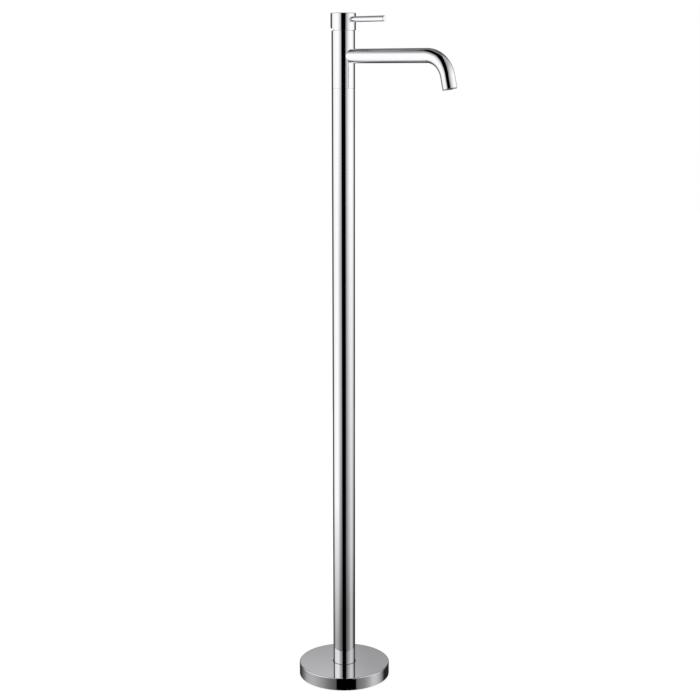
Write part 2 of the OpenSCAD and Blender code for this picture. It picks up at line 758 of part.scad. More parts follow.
// Side view of the room that the stem sweeps when the lever lifts
module stem_room() {
    half = stem_w / 2 + 2 * loose_fit;
    up = carrier_top_z - pivot_z + stem_w;
    translate([0, pivot_z]) for (k = [0 : sweep_steps]) rotate(k * lift_angle / sweep_steps) {
        translate([-half, -stem_below - loose_fit]) square([2 * half, stem_below + up + loose_fit]);
        translate([-ball_d / 2 - loose_fit, -arm_l - ball_d])
            square([ball_d + 2 * loose_fit, arm_l + ball_d]);
    }
}

module pivot_pin() color(steel_tint) translate([0, 0, pivot_z]) rotate([90, 0, 0])
    translate([0, 0, -barrel_r + loose_fit]) cylinder(d = pivot_d, h = 2 * (barrel_r - loose_fit));

module lever_stem() color(brass_tint) difference() {
    union() {
        translate([-stem_w / 2, -stem_w / 2, pivot_z - stem_below])
            cube([stem_w, stem_w, stem_top_z - pivot_z + stem_below]);
        translate([0, 0, ball_z]) cylinder(d = arm_d, h = arm_l);
        translate([0, 0, ball_z]) sphere(d = ball_d, $fn = 48);
    }
    translate([0, 0, pivot_z]) rotate([90, 0, 0])
        translate([0, 0, -stem_w]) cylinder(d = pivot_d + 2 * run_fit, h = 2 * stem_w);
}

module cartridge_housing() color(grey_plastic_tint) difference() {
    rotate_extrude() difference() {
        union() {
            translate([0, seat_z + base_foot_h]) square([housing_r, shoulder_h - base_foot_h]);
            translate([0, seat_z + base_foot_h]) square([neck_r, housing_h - base_foot_h]);
        }
        translate([-cut, seat_z - cut]) square([housing_in_r + cut, housing_step_z - seat_z + cut]);
        translate([-cut, seat_z]) square([barrel_r + loose_fit + cut, housing_roof_z - seat_z]);
        translate([-cut, seat_z]) square([housing_mouth_d / 2 + cut, housing_h + cut]);
    }
    rear_sector(lug_angle / 2 + turn_angle + lug_play)
        translate([housing_mouth_d / 2 - cut, housing_roof_z - cut])
            square([cut + lug_out + loose_fit, housing_top_t + 2 * cut]);
}

module retaining_nut() color(brass_tint) translate([0, 0, nut_z]) difference() {
    pipe(nut_d / 2 - seat_fit, nut_in_r, nut_h);
    for (k = [0 : nut_slots - 1]) rotate(k * 360 / nut_slots)
        translate([nut_d / 2, 0, nut_h]) cube([nut_d / 4, nut_slot_w, 2 * nut_slot_depth], center = true);
}

module dome_ring() color(chrome_tint) translate([0, 0, pivot_z]) rotate_extrude() intersection() {
    circle(r = dome_r, $fn = 180);
    translate([nut_d / 2 + seat_fit, body_top_z - pivot_z]) square([dome_r, dome_h]);
}

// Handle

module handle_cap() color(chrome_tint) difference() {
    rotate_extrude($fn = 180) difference() {
        translate([0, cap_z]) square([cap_r, cap_h]);
        translate([cap_r, total_h]) corner_off(cap_edge_r);
        difference() {
            translate([-cut, cap_z - cut]) square([cap_in_r + cut, cap_h - cap_top_t + cut]);
            translate([0, pivot_z + boss_up]) square([boss_d / 2, cap_h]);
        }
    }
    translate([-stem_hole, -stem_hole, pivot_z])
        cube([2 * stem_hole, 2 * stem_hole, stem_top_z + cap_gap - pivot_z]);
    translate([0, 0, pin_z]) rotate([0, 90, 0]) {
        cylinder(d = stud_d + 2 * seat_fit, h = cap_r);
        translate([0, 0, cap_r - pin_seat]) cylinder(r = pin_d / 2 + loose_fit, h = pin_seat + cut);
    }
    translate([0, 0, pivot_z]) rotate([0, lift_angle, 0])
        translate([-2 * cap_r, -cap_r - cut, -relief_d - cap_r])
            cube([2 * cap_r, 2 * (cap_r + cut), cap_r]);
}

module pin_lever() color(chrome_tint) translate([0, 0, pin_z]) rotate([0, 90, 0]) {
    rotate_extrude() {
        translate([0, stem_w / 2]) square([stud_d / 2, cap_r - pin_seat - stem_w / 2]);
        difference() {
            translate([0, cap_r - pin_seat]) square([pin_d / 2, pin_reach - cap_r + pin_seat]);
            translate([pin_d / 2, pin_reach]) corner_off(pin_tip_r);
        }
    }
}

floor_plate();
clamp_collar();
column_spigot();
floor_gasket();
collar_screws();
base_cover();
cover_hub();
cover_seal();
column_tube();
column_ring();
inlet_block();
hot_supply_tube();
cold_supply_tube();
tube_orings();
mixer_body();
spout_tube();
spout_nipple();
nipple_oring();
outlet_sleeve();
aerator_seal();
aerator_screen();
aerator_core();
aerator_housing();
cartridge_base();
cartridge_seals();
fixed_disc();
moving_disc();
disc_driver();
swivel_carrier();
pivot_pin();
lever_stem();
cartridge_housing();
retaining_nut();
dome_ring();
handle_cap();
pin_lever();
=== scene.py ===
import json
import math

import bmesh
import bpy
from mathutils import Matrix, Vector


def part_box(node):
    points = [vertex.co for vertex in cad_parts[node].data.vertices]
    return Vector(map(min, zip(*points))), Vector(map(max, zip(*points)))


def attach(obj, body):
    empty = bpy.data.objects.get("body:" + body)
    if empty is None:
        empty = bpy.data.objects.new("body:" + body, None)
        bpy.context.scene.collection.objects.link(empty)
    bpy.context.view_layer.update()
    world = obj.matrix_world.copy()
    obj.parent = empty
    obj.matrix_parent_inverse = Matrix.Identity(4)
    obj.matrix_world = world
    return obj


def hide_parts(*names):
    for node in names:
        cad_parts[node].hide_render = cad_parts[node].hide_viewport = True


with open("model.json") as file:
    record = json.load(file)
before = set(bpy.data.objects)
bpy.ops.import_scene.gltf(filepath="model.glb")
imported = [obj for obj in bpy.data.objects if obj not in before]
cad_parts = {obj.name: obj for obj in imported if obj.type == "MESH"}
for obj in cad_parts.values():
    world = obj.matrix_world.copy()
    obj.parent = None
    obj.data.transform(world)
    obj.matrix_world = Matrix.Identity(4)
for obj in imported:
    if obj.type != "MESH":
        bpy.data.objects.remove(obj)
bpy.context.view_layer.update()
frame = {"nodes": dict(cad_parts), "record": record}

bl_info = {
    "name": "Floor-standing basin mixer",
    "version": (1, 0, 0),
    "blender": (4, 5, 0),
    "location": "View3D > Sidebar > Mixer",
    "description": "Models the polished pieces of a floor-standing basin mixer, gives every piece "
                   "its finish and sets up the light tent and the camera",
    "category": "Object",
}

MM = 0.001

# Measures that hold for every piece
TINY = 0.02 * MM            # slack when places are compared, and play of a bore round its piece
MERGE = 0.002 * MM          # points nearer than this become one
LAP = 1.0 * MM              # how far a cut reaches into the hollow that it opens
PAST = 10.0 * MM            # how far a cut runs out of the piece
SHARP = math.radians(35.0)  # edges that turn further than this stay sharp
FACING = 0.9                # least part of a face's normal along an axis that it looks along


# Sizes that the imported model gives

def top_of(node):
    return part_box(node)[1].z


def bottom_of(node):
    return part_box(node)[0].z


def middle_of(node):
    return (top_of(node) + bottom_of(node)) / 2


def reach_of(node):
    """Largest distance of a round node from the mixer's upright plane of symmetry."""
    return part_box(node)[1].y


SPOUT_Z = middle_of("spout_nipple")
PIVOT_Z = middle_of("pivot_pin")
PIN_Z = middle_of("pin_lever")


# What a user may change

def length(name, description, millimetres):
    return bpy.props.FloatProperty(name=name, description=description, default=millimetres * MM,
                                   min=0.0, precision=4, unit="LENGTH", subtype="DISTANCE")


def angle(name, description, degrees):
    return bpy.props.FloatProperty(name=name, description=description,
                                   default=math.radians(degrees), unit="ROTATION", subtype="ANGLE")


def colour(name, description, value):
    return bpy.props.FloatVectorProperty(name=name, description=description, default=value,
                                         size=3, min=0.0, max=1.0, subtype="COLOR")


def share(name, description, value):
    return bpy.props.FloatProperty(name=name, description=description, default=value,
                                   min=0.0, max=1.0, subtype="FACTOR")


def amount(name, description, value):
    return bpy.props.FloatProperty(name=name, description=description, default=value, min=0.0)


class MixerSizes(bpy.types.PropertyGroup):
    """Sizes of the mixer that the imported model's boxes do not give"""
    joint_bevel: length("Joint bevel", "Bevel on each side of the joints in the column", 0.4)
    column_wall: length("Column wall", "Wall of the column tube", 1.5)
    cover_wall: length("Cover wall", "Wall of the base cover", 2.5)
    cover_edge: length("Cover edge", "Rounding of the cover's upper edge", 1.5)
    cover_foot: length("Cover foot", "Rounding of the cover's lower edge", 0.2)
    cover_gap: length("Cover gap", "Gap between the cover and the column, for the seal", 1.2)
    cover_hole_edge: length("Hole edge", "Rounding of the edge of the cover's hole", 0.4)
    body_mouth: length("Body mouth", "Radius of the thread for the dome ring and the nut", 16.02)
    body_mouth_depth: length("Mouth depth", "Depth of that thread", 9.1)
    body_seat: length("Cartridge bore", "Radius of the bore for the cartridge", 14.1)
    body_seat_depth: length("Seat depth", "Depth of the cartridge's seat", 29.0)
    ring_wall: length("Ring wall", "Wall of the threaded ring round the body's spigot", 1.5)
    spout_seat: length("Spout seat", "Distance of the spout's seat from the axis", 13.0)
    room_radius: length("Water room", "Radius of the room behind the spout", 9.0)
    room_start: length("Room start", "Distance of the end of that room from the axis", 1.5)
    outlet_radius: length("Outlet way", "Radius of the way from the cartridge to that room", 3.2)
    outlet_front: length("Outlet place", "How far that way lies in front of the axis", 5.5)
    inlet_radius: length("Inlet ways", "Radius of the two ways up to the cartridge", 3.5)
    inlet_back: length("Inlet place", "How far the two ways lie behind the axis", 4.5)
    inlet_side: length("Inlet side", "How far each of them lies to its side", 7.0)
    socket_radius: length("Tube socket", "Radius of the sockets for the supply tubes", 5.05)
    socket_depth: length("Socket depth", "Depth of those sockets", 14.0)
    spout_wall: length("Spout wall", "Wall of the spout tube", 2.0)
    spout_straight: length("Straight length", "Distance from the axis to the bend's start", 178.5)
    bend_radius: length("Bend radius", "Radius of the bend along the tube's centre line", 43.0)
    bend_angle: angle("Bend angle", "Angle of the bend", 77.0)
    spout_tail: length("Tail", "Straight length after the bend", 20.5)
    mouth_edge: length("Mouth edge", "Rounding of the mouth's edges", 0.35)
    dome_radius: length("Dome radius", "Radius of the dome ring about the lever's pivot", 17.5)
    cap_edge: length("Cap edge", "Rounding of the cap's upper edge", 1.2)
    cap_bore: length("Cap bore", "Radius of the cap's hollow", 18.4)
    cap_top: length("Cap top", "Thickness of the cap's top", 5.0)
    boss_radius: length("Boss", "Radius of the boss in the cap", 7.0)
    boss_up: length("Boss height", "Height of the boss's lower end above the pivot", 9.5)
    stem_room: length("Stem room", "Height of the room above the stem in the boss", 0.5)
    relief_depth: length("Relief", "Distance of the cap's rear relief below the pivot", 3.8)
    lift_angle: angle("Lift", "Angle by which the lever lifts", 18.0)
    pin_tip: length("Pin tip", "Rounding of the pin lever's tip", 1.0)
    pin_seat: length("Pin seat", "Depth of the pin lever's seat in the cap", 2.0)
    pin_play: length("Pin play", "Play of the pin lever in that seat", 0.1)
    stud_radius: length("Pin thread", "Radius of the pin lever's thread", 3.0)


class MixerFinishes(bpy.types.PropertyGroup):
    """Colours and gloss of the finishes"""
    chrome: colour("Chrome", "Colour of the polished chrome plating", (0.75, 0.75, 0.755))
    chrome_roughness: share("Chrome roughness", "Roughness of the clean chrome", 0.035)
    steel: colour("Steel", "Colour of the turned stainless steel", (0.62, 0.62, 0.63))
    brass: colour("Brass", "Colour of the turned brass", (0.78, 0.60, 0.29))
    copper: colour("Copper", "Colour of the drawn copper", (0.80, 0.45, 0.30))
    rubber: colour("Rubber", "Colour of the rings and seals", (0.022, 0.022, 0.024))
    plastic_white: colour("White plastic", "Colour of the white mouldings", (0.78, 0.78, 0.75))
    plastic_grey: colour("Grey plastic", "Colour of the grey mouldings", (0.26, 0.27, 0.29))
    ceramic: colour("Ceramic", "Colour of the ground ceramic discs", (0.88, 0.86, 0.80))


class MixerStage(bpy.types.PropertyGroup):
    """Camera and surroundings"""
    lens: bpy.props.FloatProperty(name="Lens", description="Focal length on the camera's sensor",
                                  default=74.56, min=10.0, subtype="DISTANCE_CAMERA")
    camera_azimuth: angle("Camera azimuth", "Place of the camera, turned from -Y to +X", 40.4)
    camera_pitch: angle("Camera pitch", "Angle by which the camera looks down", 10.99)
    camera_yaw: angle("Camera yaw", "Angle by which it looks right of the column", 0.25)
    camera_roll: angle("Camera roll", "Angle by which it is turned clockwise", -0.05)
    camera_distance: length("Camera distance", "Level distance from the column", 2513.0)
    camera_height: length("Camera height", "Height of the camera above the floor", 1093.0)
    tent_radius: length("Tent radius", "Radius of the light tent round the mixer", 600.0)
    tent_low: length("Tent depth", "How far the tent reaches below the floor", 700.0)
    tent_high: length("Tent height", "Height of the tent's roof above the floor", 2400.0)
    tent_light: amount("Tent light", "Strength of the light that the tent mirrors", 1.355)
    sky_light: amount("Sky light", "Strength of the white surroundings as a light", 0.8)
    floor_light: amount("Floor light", "Strength of the floor's own white", 0.78)
    floor_radius: length("Floor radius", "Radius of the floor", 9000.0)


# Node trees written as expressions

class Value:
    """A number that changes over a surface: each operator adds the Math node that works it out."""

    def __init__(self, tree, socket):
        self.tree = tree
        self.socket = socket

    def math(self, operation, *others, clamp=False):
        sockets = {0: self.socket}
        sockets.update({i + 1: other for i, other in enumerate(others)})
        settings = {"operation": operation, "use_clamp": clamp}
        return self.tree.value("ShaderNodeMath", settings, sockets)

    def __add__(self, other):
        return self.math("ADD", other)

    def __radd__(self, other):
        return self.math("ADD", other)

    def __sub__(self, other):
        return self.math("SUBTRACT", other)

    def __rsub__(self, other):
        return self.math("MULTIPLY_ADD", -1.0, other)

    def __mul__(self, other):
        return self.math("MULTIPLY", other)

    def __rmul__(self, other):
        return self.math("MULTIPLY", other)

    def __neg__(self):
        return self.math("MULTIPLY", -1.0)

    def __abs__(self):
        return self.math("ABSOLUTE")

    def rise(self, start, end):
        """0 up to start, 1 from end, and a straight climb between them."""
        width = end - start
        return self.math("MULTIPLY_ADD", 1.0 / width, -start / width, clamp=True)

    def fall(self, start, end):
        """1 up to start, 0 from end, and a straight fall between them."""
        return 1.0 - self.rise(start, end)

    def course(self, first, *changes):
        """The first number plus each change, which comes in between its start and its end."""
        total = first
        for start, end, change in changes:
            total = total + self.rise(start, end) * change
        return total

    def towards(self, other, mask):
        """Itself where the mask is 0, and the other where it is 1."""
        return self + mask * (other - self)


class Tree:
    """The node tree of a material or of the world, emptied and built up again."""

    def __init__(self, owner, output):
        owner.use_nodes = True
        self.nodes = owner.node_tree.nodes
        self.links = owner.node_tree.links
        self.nodes.clear()
        self.output = self.nodes.new(output)

    def node(self, kind, settings=None, sockets=None):
        """Adds one node: its settings come first, then the values or links of its sockets."""
        made = self.nodes.new(kind)
        for key, setting in (settings or {}).items():
            if key == "stops":
                self.set_stops(made.color_ramp.elements, setting)
            else:
                setattr(made, key, setting)
        for key, given in (sockets or {}).items():
            self.plug(given, made.inputs[key])
        return made

    @staticmethod
    def set_stops(elements, stops):
        while len(elements) < len(stops):
            elements.new(1.0)
        for element, (place, light) in zip(elements, stops):
            element.position = place
            element.color = grey(light)

    def plug(self, given, socket):
        if isinstance(given, Value):
            given = given.socket
        if isinstance(given, bpy.types.NodeSocket):
            self.links.new(given, socket)
        else:
            socket.default_value = given

    def value(self, kind, settings=None, sockets=None):
        return Value(self, self.node(kind, settings, sockets).outputs[0])

    def place(self):
        """Object coordinates, which stay with the piece when its body moves."""
        return self.node("ShaderNodeTexCoord").outputs["Object"]

    def parts(self, vector):
        apart = self.node("ShaderNodeSeparateXYZ", None, {"Vector": vector})
        return [Value(self, output) for output in apart.outputs]

    def stretched(self, vector, *scale):
        made = self.node("ShaderNodeVectorMath", {"operation": "MULTIPLY"}, {0: vector, 1: scale})
        return made.outputs[0]

    def noise(self, vector, scale, detail, roughness):
        sockets = {"Vector": vector, "Scale": scale, "Detail": detail, "Roughness": roughness}
        return self.value("ShaderNodeTexNoise", {"noise_dimensions": "3D"}, sockets)

    def rings(self, vector, across, along):
        """Noise in rings round the column's axis, with a number per metre outwards and upwards."""
        x, y, z = self.parts(vector)
        radius = (x * x + y * y).math("SQRT")
        sockets = {"W": radius * across + z * along, "Scale": 1.0, "Detail": 2.0}
        return self.value("ShaderNodeTexNoise", {"noise_dimensions": "1D"}, sockets)

    def blend(self, factor, first, second):
        """Colour between two colours."""
        made = self.node("ShaderNodeMix", {"data_type": "RGBA"},
                         {"Factor": factor, 6: first, 7: second})
        return made.outputs[2]

    def choose(self, factor, first, second):
        """Shader between two shaders."""
        sockets = {0: factor, 1: first.outputs[0], 2: second.outputs[0]}
        return self.node("ShaderNodeMixShader", None, sockets)

    def bump(self, height, strength, distance):
        sockets = {"Height": height, "Strength": strength, "Distance": distance}
        return self.node("ShaderNodeBump", None, sockets).outputs[0]

    def show(self, shader):
        self.links.new(shader.outputs[0], self.output.inputs["Surface"])


def rgba(channels, factor=1.0):
    return tuple(min(1.0, channel * factor) for channel in channels) + (1.0,)


def grey(light):
    return (light, light, light, 1.0)


class Finish(Tree):
    """A material with one Principled surface."""

    def __init__(self, name, metallic):
        self.material = bpy.data.materials.new(name)
        super().__init__(self.material, "ShaderNodeOutputMaterial")
        self.shader = self.node("ShaderNodeBsdfPrincipled", None, {"Metallic": metallic})
        self.show(self.shader)

    def surface(self, tone, roughness, relief, strength, distance):
        """Plugs in what varies over the surface, and gives back the material."""
        self.plug(tone, self.shader.inputs["Base Color"])
        self.plug(roughness, self.shader.inputs["Roughness"])
        self.plug(self.bump(relief, strength, distance), self.shader.inputs["Normal"])
        return self.material


def polished_chrome(finishes):
    """Bright plating: faint waves left by buffing, a thin uneven haze and finer wiping marks."""
    finish, metal = Finish("polished_chrome", metallic=1.0), finishes.chrome
    place = finish.place()
    haze = finish.noise(place, scale=26.0, detail=4.0, roughness=0.55)
    along = finish.stretched(place, 1.0, 1.0, 0.12)
    wiping = finish.noise(along, scale=900.0, detail=2.0, roughness=0.6)
    along = finish.stretched(place, 1.0, 1.0, 0.25)
    waves = finish.noise(along, scale=55.0, detail=1.0, roughness=0.4)
    clouds = finish.noise(place, scale=9.0, detail=2.0, roughness=0.5)
    dull = haze.rise(0.45, 0.8) * 0.03 + wiping.rise(0.55, 0.8) * 0.02
    return finish.surface(
        tone=finish.blend(clouds.rise(0.35, 0.7), rgba(metal, 0.985), rgba(metal)),
        roughness=dull + finishes.chrome_roughness,
        relief=waves, strength=0.04, distance=0.4 * MM)


def turned_steel(finishes):
    """Lathe-turned stainless steel: fine rings round the axis and a slightly cloudy tone."""
    finish, metal = Finish("turned_steel", metallic=1.0), finishes.steel
    place = finish.place()
    rings = finish.rings(place, across=2600.0, along=2600.0)
    clouds = finish.noise(place, scale=45.0, detail=3.0, roughness=0.5)
    return finish.surface(
        tone=finish.blend(clouds.rise(0.3, 0.7), rgba(metal, 0.9), rgba(metal)),
        roughness=rings * 0.16 + clouds * 0.08 + 0.2,
        relief=rings, strength=0.25, distance=0.04 * MM)


def turned_brass(finishes):
    """Turned brass: rings from the tool and brown patches where it has begun to tarnish."""
    finish, metal = Finish("turned_brass", metallic=1.0), finishes.brass
    place = finish.place()
    rings = finish.rings(place, across=1800.0, along=3000.0)
    tarnish = finish.noise(place, scale=110.0, detail=4.0, roughness=0.6).rise(0.52, 0.75)
    return finish.surface(
        tone=finish.blend(tarnish, rgba(metal), rgba(metal, 0.72)),
        roughness=rings * 0.1 + tarnish * 0.16 + 0.2,
        relief=rings, strength=0.3, distance=0.05 * MM)


def drawn_copper(finishes):
    """Drawn copper tube: long scratches along its length and darker oxide spots."""
    finish, metal = Finish("drawn_copper", metallic=1.0), finishes.copper
    place = finish.place()
    along = finish.stretched(place, 1.0, 1.0, 0.01)
    scratches = finish.noise(along, scale=3200.0, detail=2.0, roughness=0.5)
    oxide = finish.noise(place, scale=70.0, detail=4.0, roughness=0.6).rise(0.5, 0.72)
    return finish.surface(
        tone=finish.blend(oxide, rgba(metal), rgba(metal, 0.62)),
        roughness=scratches * 0.14 + oxide * 0.2 + 0.2,
        relief=scratches, strength=0.3, distance=0.04 * MM)


def moulded_rubber(finishes):
    """Black rubber: fine matt grain and a little pale dust."""
    finish = Finish("moulded_rubber", metallic=0.0)
    place = finish.place()
    pale = rgba((0.16, 0.16, 0.155))
    grain = finish.noise(place, scale=3500.0, detail=2.0, roughness=0.6)
    dust = finish.noise(place, scale=160.0, detail=4.0, roughness=0.6).rise(0.55, 0.85)
    return finish.surface(
        tone=finish.blend(dust * 0.3, rgba(finishes.rubber), pale),
        roughness=grain * 0.2 + 0.5,
        relief=grain, strength=0.4, distance=0.04 * MM)


def moulded_plastic(name, plastic):
    """Injection-moulded plastic: satin skin, faint flow marks and a fine grain."""
    finish = Finish(name, metallic=0.0)
    place = finish.place()
    grain = finish.noise(place, scale=2600.0, detail=2.0, roughness=0.5)
    level = finish.stretched(place, 1.0, 1.0, 2.5)
    flow = finish.noise(level, scale=60.0, detail=3.0, roughness=0.5)
    return finish.surface(
        tone=finish.blend(flow.rise(0.35, 0.7), rgba(plastic, 0.94), rgba(plastic)),
        roughness=grain * 0.12 + flow * 0.1 + 0.3,
        relief=grain, strength=0.25, distance=0.03 * MM)


def ground_ceramic(finishes):
    """Ground alumina: lapped, nearly glossy faces with tiny darker grains."""
    finish, stone = Finish("ground_ceramic", metallic=0.0), finishes.ceramic
    place = finish.place()
    grains = finish.noise(place, scale=2400.0, detail=3.0, roughness=0.7).rise(0.6, 0.8)
    clouds = finish.noise(place, scale=90.0, detail=2.0, roughness=0.5)
    return finish.surface(
        tone=finish.blend(grains * 0.35, rgba(stone), rgba(stone, 0.7)),
        roughness=clouds * 0.12 + grains * 0.1 + 0.1,
        relief=grains, strength=0.1, distance=0.02 * MM)


def make_finishes(finishes):
    """One material for each slot of the record."""
    return {
        "chrome": polished_chrome(finishes),
        "steel": turned_steel(finishes),
        "brass": turned_brass(finishes),
        "copper": drawn_copper(finishes),
        "rubber": moulded_rubber(finishes),
        "plastic_white": moulded_plastic("white_plastic", finishes.plastic_white),
        "plastic_grey": moulded_plastic("grey_plastic", finishes.plastic_grey),
        "ceramic": ground_ceramic(finishes),
    }


# Filled by the first operator: a material for each slot
MATERIALS = {}


# Modelling by hand

def deselect_all():
    """Leaves edit mode and deselects every object."""
    if bpy.context.mode != "OBJECT":
        bpy.ops.object.mode_set(mode="OBJECT")
    bpy.ops.object.select_all(action="DESELECT")


def activate(piece):
    """Makes the piece the one that is selected and active, in object mode."""
    deselect_all()
    piece.select_set(True)
    bpy.context.view_layer.objects.active = piece


def start_piece(name, add, **size):
    """Adds a primitive at its size and place and opens it in edit mode."""
    deselect_all()
    add(**size)
    piece = bpy.context.object
    piece.name = name
    piece.data.name = name
    bpy.ops.object.transform_apply(location=True, rotation=True, scale=True)
    bpy.ops.object.mode_set(mode="EDIT")
    return piece


def start_round(name, radius, low, high, sides):
    """Starts a piece as an upright round bar on the column's axis."""
    return start_piece(name, bpy.ops.mesh.primitive_cylinder_add, vertices=sides, radius=radius,
                       depth=high - low, location=(0.0, 0.0, (low + high) / 2))


def pick(kind, test):
    """Selects the faces or edges of the open piece that pass the test, and nothing else."""
    bpy.ops.mesh.select_mode(type=kind)
    bpy.ops.mesh.select_all(action="DESELECT")
    mesh = bpy.context.edit_object.data
    shape = bmesh.from_edit_mesh(mesh)
    items = {"FACE": shape.faces, "EDGE": shape.edges}[kind]
    found = [item for item in items if test(item)]
    if not found:
        raise RuntimeError("nothing to select on " + mesh.name)
    for item in found:
        item.select_set(True)
    shape.select_flush_mode()
    bmesh.update_edit_mesh(mesh)


def face_at(height, side, reach=None):
    """Test for level faces at a height, and within a distance of the axis if one is given."""
    def test(face):
        centre = face.calc_center_median()
        near = reach is None or max(vert.co.xy.length for vert in face.verts) < reach
        return near and abs(centre.z - height) < TINY and face.normal.z * side > FACING
    return test


def rim_at(centre, axis, radius):
    """Test for the edges of a circle about an axis."""
    centre, axis = Vector(centre), Vector(axis).normalized()

    def on_circle(vert):
        offset = vert.co - centre
        along = offset.dot(axis)
        return abs(along) < TINY and abs((offset - along * axis).length - radius) < 2 * TINY

    return lambda edge: on_circle(edge.verts[0]) and on_circle(edge.verts[1])


def upright_rim(radius, height):
    return rim_at((0.0, 0.0, height), (0.0, 0.0, 1.0), radius)


def extrude(vector):
    bpy.ops.mesh.extrude_region_move(TRANSFORM_OT_translate={"value": tuple(vector)})


def inset(width):
    bpy.ops.mesh.inset(thickness=width, depth=0.0)


def bevel(test, width, steps):
    """Rounds the edges that pass the test."""
    pick("EDGE", test)
    bpy.ops.mesh.bevel(offset=width, segments=steps, profile=0.5, affect="EDGES",
                       clamp_overlap=True)


def open_through(test_low, test_high):
    """Deletes two round faces and joins their rims by a wall."""
    pick("FACE", lambda face: test_low(face) or test_high(face))
    bpy.ops.mesh.delete(type="ONLY_FACE")
    bpy.ops.mesh.bridge_edge_loops()


def close_up():
    """Joins the doubles of the open piece and turns its faces outwards."""
    bpy.ops.mesh.select_all(action="SELECT")
    bpy.ops.mesh.remove_doubles(threshold=MERGE)
    bpy.ops.mesh.normals_make_consistent(inside=False)


def apply_modifier(piece, kind, **settings):
    modifier = piece.modifiers.new(kind.lower(), kind)
    for key, setting in settings.items():
        setattr(modifier, key, setting)
    bpy.ops.object.modifier_apply(modifier=modifier.name)


def cut_with(piece, cutter):
    """Takes the cutter's volume off the piece and deletes the cutter."""
    activate(piece)
    apply_modifier(piece, "BOOLEAN", operation="DIFFERENCE", solver="EXACT", object=cutter)
    bpy.data.objects.remove(cutter)


def drill(piece, radius, start, end, sides=64):
    """Cuts a round hole from one point to another out of a closed piece."""
    start, end = Vector(start), Vector(end)
    way = end - start
    turn = Vector((0.0, 0.0, 1.0)).rotation_difference(way).to_euler()
    deselect_all()
    bpy.ops.mesh.primitive_cylinder_add(vertices=sides, radius=radius, depth=way.length,
                                        location=(start + end) / 2, rotation=turn)
    cut_with(piece, bpy.context.object)


def finish_piece(piece, slot, body, *nodes):
    """Cleans and shades a piece, gives it its finish and its body, and hides the nodes it replaces.
    """
    activate(piece)
    bpy.ops.object.mode_set(mode="EDIT")
    close_up()
    bpy.ops.object.mode_set(mode="OBJECT")
    bpy.ops.object.shade_smooth_by_angle(angle=SHARP)
    apply_modifier(piece, "WEIGHTED_NORMAL", keep_sharp=True)
    piece.data.materials.clear()
    piece.data.materials.append(MATERIALS[slot])
    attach(piece, body)
    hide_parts(*nodes)


# Pieces

class MIXER_OT_finishes(bpy.types.Operator):
    """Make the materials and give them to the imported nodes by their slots"""
    bl_idname = "mixer.finishes"
    bl_label = "Finishes"

    def execute(self, context):
        MATERIALS.update(make_finishes(context.scene.mixer_finishes))
        for row in frame["record"]["subparts"]:
            mesh = frame["nodes"][row["node"]].data
            mesh.materials.clear()
            mesh.materials.append(MATERIALS[row["material_slot"]])
        return {"FINISHED"}


class MIXER_OT_base_cover(bpy.types.Operator):
    """Model the round cover over the floor plate"""
    bl_idname = "mixer.base_cover"
    bl_label = "Base cover"

    def execute(self, context):
        sizes = context.scene.mixer_sizes
        radius, high = reach_of("base_cover"), top_of("base_cover")
        hole = reach_of("column_tube") + sizes.cover_gap
        roof = high - sizes.cover_wall
        piece = start_round("chrome_cover", radius, 0.0, high, sides=224)
        pick("FACE", face_at(0.0, -1))
        inset(sizes.cover_wall)
        extrude((0.0, 0.0, roof))
        inset(radius - sizes.cover_wall - hole)
        pick("FACE", face_at(high, 1))
        inset(radius - hole)
        open_through(face_at(roof, -1, hole + TINY), face_at(high, 1, hole + TINY))
        bevel(upright_rim(radius, high), sizes.cover_edge, steps=8)
        bevel(upright_rim(hole, high), sizes.cover_hole_edge, steps=5)
        bevel(upright_rim(radius, 0.0), sizes.cover_foot, steps=2)
        finish_piece(piece, "chrome", "foot_cover", "base_cover")
        return {"FINISHED"}


class MIXER_OT_column(bpy.types.Operator):
    """Model the column tube"""
    bl_idname = "mixer.column"
    bl_label = "Column"

    def execute(self, context):
        sizes = context.scene.mixer_sizes
        radius, bore = reach_of("column_tube"), reach_of("column_tube") - sizes.column_wall
        low, high = bottom_of("column_tube"), top_of("column_tube")
        piece = start_round("chrome_column", radius, low, high, sides=192)
        for height, side in ((low, -1), (high, 1)):
            pick("FACE", face_at(height, side))
            inset(sizes.column_wall)
        open_through(face_at(low, -1, bore + TINY), face_at(high, 1, bore + TINY))
        bevel(upright_rim(radius, high), sizes.joint_bevel, steps=3)
        finish_piece(piece, "chrome", "stand", "column_tube")
        return {"FINISHED"}


